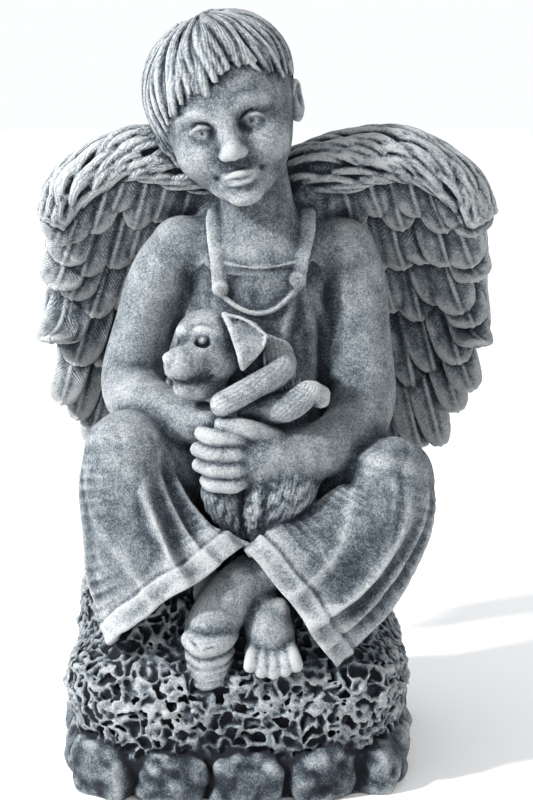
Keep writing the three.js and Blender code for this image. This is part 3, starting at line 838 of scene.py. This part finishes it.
def on_cap(turn, fall, lift):
    past = max(0.0, fall - math.pi / 2)
    out = lift * (math.sin(fall - past) - 0.16 * past)
    up = lift * math.cos(fall - past) - past
    spot = np.array(HAIR_CENTRE) + np.array(HAIR_RADII) * (out * math.sin(turn), -out * math.cos(turn), up)
    return on_head(*spot)


def model_hair(clay):
    """The cap, and locks that lie over it and fall past its hem, swept away from the parting."""
    clay.add(HairCap(), HAIR, 1.5)
    draw = np.random.default_rng(19)
    for layer, (count, lift, size) in enumerate(((54, 0.995, 3.6), (46, 1.035, 3.3))):
        for i in range(count):
            turn = 2 * math.pi * (i + 0.5 * layer + draw.uniform(-0.3, 0.3)) / count
            length = float(hair_length(turn)) * (1 - 0.16 * layer * draw.random()) + draw.uniform(-0.03, 0.11)
            start = draw.uniform(0.05, 0.4)
            broad = size * draw.uniform(0.7, 1.3)
            bend = 0.2 * math.sin(2 * turn + 0.6) + draw.uniform(-0.13, 0.13)
            rows = []
            for share in np.linspace(start, 1, 5):
                sweep = turn + bend * (share**2 - 1) + 0.05 * math.sin(7 * share + i)
                raised = lift + 0.025 * math.sin(math.pi * share) - 0.03 * share**6
                width = broad * (0.55 + 0.6 * math.sin(math.pi * (share - start) / (1.05 - start)))
                rows.append((*on_cap(sweep, share * length, raised), width, 0.8 * width))
            clay.add(Tube(rows, steps=3), HAIR, 0.4)


# Wings

WING_HALF = 186.0


def wing_line(spots):
    return smooth([(x * WING_HALF, y, z) for x, y, z in spots], 12)


def rim_radius(s):
    return np.interp(s, np.linspace(0, 1, 6), [20, 22, 20, 18, 16, 11])


RIM = wing_line(
    [(0.12, 54, 455), (0.31, 40, 468), (0.48, 33, 476), (0.63, 33, 474), (0.83, 38, 451), (0.925, 45, 424)]
)
TIPS = wing_line(
    [(0.23, 88, 262), (0.44, 90, 232), (0.62, 86, 222), (0.78, 78, 234), (0.9, 66, 266), (0.98, 52, 350)]
)


def along_line(line, share):
    place = min(max(share, 0), 1) * (len(line) - 1)
    low = min(int(place), len(line) - 2)
    return line[low] + (line[low + 1] - line[low]) * (place - low)


def on_wing(side, s, v, backward=0.0):
    """The front of a wing: s runs out along the rim, v runs down from the rim to the feather tips."""
    spot = along_line(RIM, s) * (1 - v) + along_line(TIPS, s) * v
    spot[1] += 34 * math.sin(math.pi * v) * math.sin(math.pi * (0.15 + 0.7 * s)) + backward
    spot[0] *= side
    return spot


# A feather's sections: how far along it, its share of the full width, and its half-thickness
SECTIONS = ((0, 0.7, 2.6), (0.3, 0.95, 3.6), (0.6, 1, 4.4), (0.82, 0.94, 4.6), (0.94, 0.76, 4), (1, 0.5, 2.8))


def barbs(place, u, v):
    """A feather's quill stands proud, and its two halves dip beside it."""
    return 1.0 * np.exp(-((u / 1.4) ** 2)) - 0.5 * np.exp(-(((np.abs(u) - 3) / 2) ** 2))


def feather(clay, side, s, lean, top, low, root, tip, width):
    """One feather from level top to level low. It leans outwards, and stands off the wing by root to tip."""

    def slant(place, u):
        return (place * length - 0.9 * np.abs(u)) / 2.6

    rows = []
    for share, broad, thick in SECTIONS:
        v = top + (low - top) * share
        lift = root + (tip - root) * share**1.5
        rows.append((*on_wing(side, s + lean * share**1.3, v, lift), width / 2 * broad, thick))
    length = np.linalg.norm(np.diff(np.array(rows)[:, :3], axis=0), axis=1).sum()
    clay.add(Tube(rows, steps=2, relief=barbs, grain=slant), FEATHER, 0.4)


def model_wing(clay, side):
    """A wing's sheet, its rows of feathers from the lowest up, plainer ones behind, its root and its rim."""
    draw = np.random.default_rng(40 + side)
    for s in np.linspace(0.04, 0.87, 9):
        rows = [(*on_wing(side, s, v, 7), 16, 6) for v in (0, 0.3, 0.6, 0.82)]
        clay.add(Tube(rows, steps=3), FEATHER, 3)
    layers = (  # count, top, low, width, root, tip
        (8, 0.5, 1.0, 32, 0, -4),
        (7, 0.38, 0.77, 36, 0, -9),
        (7, 0.2, 0.56, 37, -1, -13),
        (7, 0.06, 0.38, 36, -2, -15),
        (8, -0.04, 0.22, 30, -5, -17),
    )
    for layer, (count, top, low, width, root, tip) in enumerate(layers):
        for i in range(count + 1 - layer % 2):
            s = (i - 0.2 + 0.5 * (layer % 2) + draw.uniform(-0.16, 0.16)) / count
            reach = low + draw.uniform(-0.05, 0.04)
            lean = 0.04 + 0.07 * s + draw.uniform(-0.02, 0.02)
            s *= 0.95 - lean
            lifted = tip + draw.uniform(-2, 2)
            feather(clay, side, s, lean, top, reach, root, lifted, width * draw.uniform(0.92, 1.08))
    for count, top, low in ((6, 0.35, 0.85), (6, 0.05, 0.5)):
        for i in range(count):
            feather(clay, side, 0.92 * (i + 0.4) / count, 0.04, top, low, 10, 15, 40)
    clay.add(Tube([(side * 16, 42, 320, 20), (side * 22, 48, 384, 26), (side * 40, 50, 446, 24)]), FEATHER, 8)
    model_rim(clay, side, draw)


def model_rim(clay, side, draw):
    """The rim of a wing under flowing streaks that arch outwards and turn down over the first feathers."""
    rows = [(side * x, y, z, rim_radius(i / 15)) for i, (x, y, z) in enumerate(RIM[:: len(RIM) // 15][:16])]
    clay.add(Tube(rows, steps=2), PLUME, 2)
    for i in range(112):
        start = (i % 16) / 16 + draw.uniform(-0.03, 0.03)
        turn = math.radians(-70 + 32 * (i // 16) + draw.uniform(-12, 12))
        reach, slide = draw.uniform(0.16, 0.26), draw.uniform(0.5, 0.95)
        rows = []
        for share in (0, 0.3, 0.6, 0.85, 1):
            s = min(max(start + reach * share, 0), 1)
            centre = along_line(RIM, s)
            angle = turn + slide * share**2
            lift = rim_radius(s) + 2.6 - 2.2 * (2 * share - 1) ** 2
            ahead = along_line(RIM, min(s + 0.02, 1)) - along_line(RIM, max(s - 0.02, 0))
            up = np.array([-ahead[2], 0, ahead[0]]) / np.linalg.norm(ahead[[0, 2]])
            spot = centre + lift * (math.cos(angle) * up + math.sin(angle) * np.array([0, -1, 0]))
            rows.append((side * spot[0], spot[1], spot[2], 3.3 * (1 - 0.6 * share**3)))
        clay.add(Tube(rows, steps=3, grain=strands(2.4)), PLUME, 0.3)


# The clay as a mesh

# How light each matter's finish is on the flat, with painted light in the feathers' value, and how strongly
# its hollows and ridges show
FINISH_AND_PAINTED_LIGHT = {
    0: (0.5, 0.3),  # no matter
    ROCK: (0.26, 0.5),
    COBBLE: (0.36, 0.5),
    CLOTH: (0.59, 0.3),
    SKIN: (0.64, 0.32),
    HAIR: (0.43, 0.56),
    # The feathers' value is their dry-brushed paint raised by painted light, for the light their faces turn
    # away from.
    FEATHER: (0.77, 0.5),
    FUR: (0.54, 0.42),
    PLUME: (0.56, 0.5),
}
GROOVE_DEPTHS = {HAIR: 0.6, FEATHER: 0.6, FUR: 0.4, PLUME: 0.8}
# The narrow reach finds the hollows of the dark wash and the ridges of the dry-brushed paint; the wide reach
# paints shade into broad hollows and under overhangs.
HOLLOW_REACHES = (3.5, 12)  # how wide the hollows are that the finish tells apart, in millimetres


def mesh_of(clay):
    grid = openvdb.FloatGrid(background=3 * CELL)
    grid.copyFromArray(np.clip(clay.gap, -3 * CELL, 3 * CELL))
    points, triangles, quads = grid.convertToPolygons(isovalue=0.0, adaptivity=0.0)
    faces = np.concatenate([quads[:, [0, 1, 2]], quads[:, [0, 2, 3]], triangles]).astype(np.int32)
    return points * CELL + clay.low, faces[:, ::-1]


def largest_part(points, faces):
    """The biggest connected piece of a mesh, without the voids inside it."""
    name = np.arange(len(points))
    while True:
        lowest = name[faces].min(axis=1)
        renamed = name.copy()
        for corner in range(3):
            np.minimum.at(renamed, faces[:, corner], lowest)
        renamed = renamed[renamed]
        if np.array_equal(renamed, name):
            break
        name = renamed
    names, counts = np.unique(name, return_counts=True)
    kept = name == names[np.argmax(counts)]
    number = np.cumsum(kept) - 1
    return points[kept], number[faces[kept[faces[:, 0]]]]


def make_object(name, points, faces):
    """An object of triangles in the scene."""
    mesh = bpy.data.meshes.new(name)
    mesh.vertices.add(len(points))
    mesh.vertices.foreach_set("co", points.astype(np.float32).ravel())
    mesh.loops.add(faces.size)
    mesh.loops.foreach_set("vertex_index", faces.astype(np.int32).ravel())
    mesh.polygons.add(len(faces))
    mesh.polygons.foreach_set("loop_start", np.arange(0, faces.size, 3, dtype=np.int32))
    mesh.update(calc_edges=True)
    mesh.validate()
    obj = bpy.data.objects.new(name, mesh)
    bpy.context.scene.collection.objects.link(obj)
    return obj


def thinned(points, faces, most):
    """The mesh with its flattest triangles merged until at most that many are left."""
    rough = make_object("rough", points, faces)
    modifier = rough.modifiers.new("thin_out", "DECIMATE")
    modifier.ratio = min(1, most / len(faces))
    modifier.use_collapse_triangulate = True
    made = rough.evaluated_get(bpy.context.evaluated_depsgraph_get()).to_mesh()
    points = np.empty(len(made.vertices) * 3, np.float32)
    made.vertices.foreach_get("co", points)
    faces = np.empty(len(made.polygons) * 3, np.int32)
    made.polygons.foreach_get("vertices", faces)
    bpy.data.objects.remove(rough)
    return points.reshape(-1, 3), faces.reshape(-1, 3)


def sample(field, low, cell, points):
    """A grid's values at points, mixed from the eight around each."""
    place = (points - low) / cell
    whole = np.clip(np.floor(place).astype(int), 0, np.array(field.shape) - 2)
    share = place - whole
    total = 0
    for corner in np.ndindex(2, 2, 2):
        weight = np.prod(np.where(corner, share, 1 - share), axis=1)
        i, j, k = (whole + corner).T
        total = total + weight * field[i, j, k]
    return total


def blurred(field, cells):
    """A field with each value the mean of the box that reaches so many cells around it."""
    for axis in range(3):
        padding = [(0, 0)] * 3
        padding[axis] = (cells + 1, cells)
        total = np.cumsum(np.pad(field, padding, mode="edge"), axis=axis, dtype=np.float32)
        count = field.shape[axis]
        upper = np.take(total, np.arange(2 * cells + 1, 2 * cells + 1 + count), axis=axis)
        lower = np.take(total, np.arange(count), axis=axis)
        field = (upper - lower) / (2 * cells + 1)
    return field


def nearest_cells(clay, points):
    nearest = np.clip(np.round((points - clay.low) / CELL).astype(int), 0, np.array(clay.gap.shape) - 1)
    return tuple(nearest.T)


def tones_with_painted_shade(clay, points):
    """How light the finish is at points: the dark wash in small hollows, pale dry-brushed paint on what
    stands out, and painted shade in broad hollows and under overhangs.
    """
    coarse = np.clip(clay.gap[::2, ::2, ::2], -EDGE, EDGE)
    near, wide = (
        sample(blurred(coarse, max(1, round(reach / CELL / 2))), clay.low, 2 * CELL, points)
        for reach in HOLLOW_REACHES
    )
    matter = clay.matter[nearest_cells(clay, points)]
    base, contrast = np.array([FINISH_AND_PAINTED_LIGHT[kind] for kind in range(PLUME + 1)])[matter].T
    # near gives the dark wash and the dry-brushed paint; 0.05 * wide paints shade into broad hollows and
    # under overhangs
    return np.clip(base + contrast * np.tanh(near / 0.9) + 0.05 * wide, 0, 1)


def grooves(clay, points):
    """The count of fine grooves passed at points, and how deep they are, from 0 to 1."""
    nearest = nearest_cells(clay, points)
    matter = clay.matter[nearest]
    phase = clay.phase[nearest].astype(float)
    hair = matter == HAIR
    local = (points[hair] - HEAD_SEAT) @ HEAD_TURN - HAIR_CENTRE
    a, b, c = (local / HAIR_RADII).T
    fall = np.arctan2(np.hypot(a, b), c)
    phase[hair] = 2 * hair_strands(np.arctan2(a, -b), fall, local.T)[1]
    depth = np.select([matter == kind for kind in GROOVE_DEPTHS], list(GROOVE_DEPTHS.values()), 0.0)
    return phase, depth


# Material


def add_node(tree, kind, settings=(), **links):
    """A shader node with its own settings, and with values or outputs for its inputs by number."""
    node = tree.nodes.new(kind)
    for key, value in settings:
        setattr(node, key, value)
    for key, value in links.items():
        socket = node.inputs[int(key[1:])]
        if isinstance(value, bpy.types.NodeSocket):
            tree.links.new(value, socket)
        else:
            socket.default_value = value
    return node


def maths(tree, operation, first, second):
    """What a shader's sum of two values or outputs gives."""
    return add_node(tree, "ShaderNodeMath", [("operation", operation)], i0=first, i1=second).outputs[0]


VALUES = ("tone", "groove_phase", "groove_depth")  # what the mesh tells the paint at each point

# The dark wash and painted shade, the grey of the stone and the pale dry-brushed paint, by tone
PAINT = [
    (0.0, (0.002, 0.003, 0.006)),
    (0.3, (0.007, 0.010, 0.015)),
    (0.45, (0.026, 0.036, 0.047)),
    (0.6, (0.078, 0.094, 0.108)),
    (0.78, (0.185, 0.206, 0.22)),
    (1.0, (0.36, 0.375, 0.38)),
]
SPECKLES = [(14, 0.35), (70, 0.45), (420, 0.5), (900, 0.7), (1800, 0.5)]  # lumps a metre, and their tone


def stone_paint():
    material = bpy.data.materials.new("antiqued_cast_stone")
    material.use_nodes = True
    tree = material.node_tree
    shader = tree.nodes["Principled BSDF"]
    shader.inputs["Roughness"].default_value = 0.88
    shader.inputs["Specular IOR Level"].default_value = 0.3
    place = add_node(tree, "ShaderNodeTexCoord").outputs["Object"]
    tone, phase, depth = (
        add_node(tree, "ShaderNodeAttribute", [("attribute_name", name)]).outputs["Fac"]
        for name in VALUES
    )
    wobble = add_node(tree, "ShaderNodeTexNoise", i0=place, i2=160.0).outputs[0]
    shifted = maths(tree, "ADD", phase, maths(tree, "MULTIPLY", wobble, 0.9))
    turn = maths(tree, "MULTIPLY", shifted, 2 * math.pi)
    wave = maths(tree, "MULTIPLY", maths(tree, "SINE", turn, 0.0), depth)
    # The tone attribute holds the dark wash, the dry-brushed paint and the painted shade.
    total = maths(tree, "ADD", tone, maths(tree, "MULTIPLY", wave, 0.09))
    for size, amount in SPECKLES:
        grain = add_node(tree, "ShaderNodeTexNoise", i0=place, i2=float(size), i3=3.0, i4=0.6).outputs[0]
        speckle = maths(tree, "MULTIPLY", maths(tree, "SUBTRACT", grain, 0.5), amount)
        total = maths(tree, "ADD", total, speckle)
    ramp = add_node(tree, "ShaderNodeValToRGB", i0=total)
    elements = ramp.color_ramp.elements
    for position, _ in PAINT[1:-1]:
        elements.new(position)
    for element, (position, colour) in zip(elements, PAINT):
        element.position = position
        element.color = (*colour, 1)
    tree.links.new(ramp.outputs[0], shader.inputs["Base Color"])
    height = maths(tree, "ADD", maths(tree, "MULTIPLY", wave, 0.45), maths(tree, "MULTIPLY", grain, 0.8))
    bump = add_node(tree, "ShaderNodeBump", i0=0.9, i1=0.0011)
    tree.links.new(height, bump.inputs["Height"])
    tree.links.new(bump.outputs[0], shader.inputs["Normal"])
    return material


# The statue


def trim_to_box(clay, low, high):
    """Cuts off what stands past a box."""
    for axis, points in enumerate(clay.axes):
        shape = [1, 1, 1]
        shape[axis] = -1
        beyond = np.maximum(low[axis] - points, points - high[axis]).reshape(shape)
        np.maximum(clay.gap, beyond, out=clay.gap)


def model_statue():
    """All of the statue in clay, each form pressed into those before it."""
    clay = Clay((-204, -156, -2), (204, 138, 606))
    for model in (model_rock, pit_rock, model_cobbles, model_legs, model_torso, crease_cloth):
        model(clay)
    for side in (-1, 1):
        model_wing(clay, side)
    for model in (model_overalls, model_puppy, model_feet, model_arms, model_head, model_hair):
        model(clay)
    trim_to_box(clay, *(np.array(corner) * 1000 - SHIFT for corner in cad_box))
    return clay


clay = model_statue()
points, faces = largest_part(*thinned(*mesh_of(clay), MOST_TRIANGLES))
statue = make_object("statue_carving", (points + SHIFT) / 1000, faces)
for name, values in zip(VALUES, (tones_with_painted_shade(clay, points), *grooves(clay, points))):
    attribute = statue.data.attributes.new(name, "FLOAT", "POINT")
    attribute.data.foreach_set("value", values.astype(np.float32))
statue.data.polygons.foreach_set("use_smooth", np.ones(len(statue.data.polygons), bool))
statue.data.materials.clear()
statue.data.materials.append(stone_paint())

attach(statue, "root")
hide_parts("statue")


# Floor, light and camera

SENSOR = 36  # the sensor's width, and its height in use, in millimetres
PICTURE_HEIGHT = 800  # in pixels, as the focal length below
FOCAL_LENGTH = 2062
CAMERA_PLACE = np.array([0, -1.6, 0.7])
CAMERA_DOWN = 14.56  # how far the camera looks down, in degrees


def make_floor():
    bpy.ops.mesh.primitive_plane_add(size=8, location=(0, 0, 0))
    floor = bpy.context.object
    floor.name = "floor"
    paint = bpy.data.materials.new("floor_paint")
    paint.use_nodes = True
    shader = paint.node_tree.nodes["Principled BSDF"]
    shader.inputs["Base Color"].default_value = (0.9, 0.9, 0.9, 1)
    shader.inputs["Roughness"].default_value = 0.9
    floor.data.materials.append(paint)


def make_light(name, location, target, size, power):
    data = bpy.data.lights.new(name, "AREA")
    data.size = size
    data.energy = power
    light = bpy.data.objects.new(name, data)
    light.location = location
    light.rotation_euler = (Vector(target) - Vector(location)).to_track_quat("-Z", "Y").to_euler()
    bpy.context.scene.collection.objects.link(light)


def make_camera():
    data = bpy.data.cameras.new("camera")
    data.lens = FOCAL_LENGTH / PICTURE_HEIGHT * SENSOR
    data.sensor_width = SENSOR
    camera = bpy.data.objects.new("camera", data)
    camera.location = CAMERA_PLACE + SHIFT / 1000
    camera.rotation_euler = (math.radians(90 - CAMERA_DOWN), 0, 0)
    bpy.context.scene.collection.objects.link(camera)
    bpy.context.scene.camera = camera


def make_world():
    world = bpy.data.worlds.new("studio")
    world.use_nodes = True
    background = world.node_tree.nodes["Background"]
    background.inputs["Color"].default_value = (0.98, 0.99, 1, 1)
    background.inputs["Strength"].default_value = 1.0
    bpy.context.scene.world = world
    bpy.context.scene.view_settings.view_transform = "Standard"


make_floor()
make_light("key", (-2.1, -1.05, 2.0), (0, 0, 0.3), 0.25, 185)
make_light("fill", (1.5, -1.4, 0.8), (0, 0, 0.3), 1.2, 4)
make_camera()
make_world()
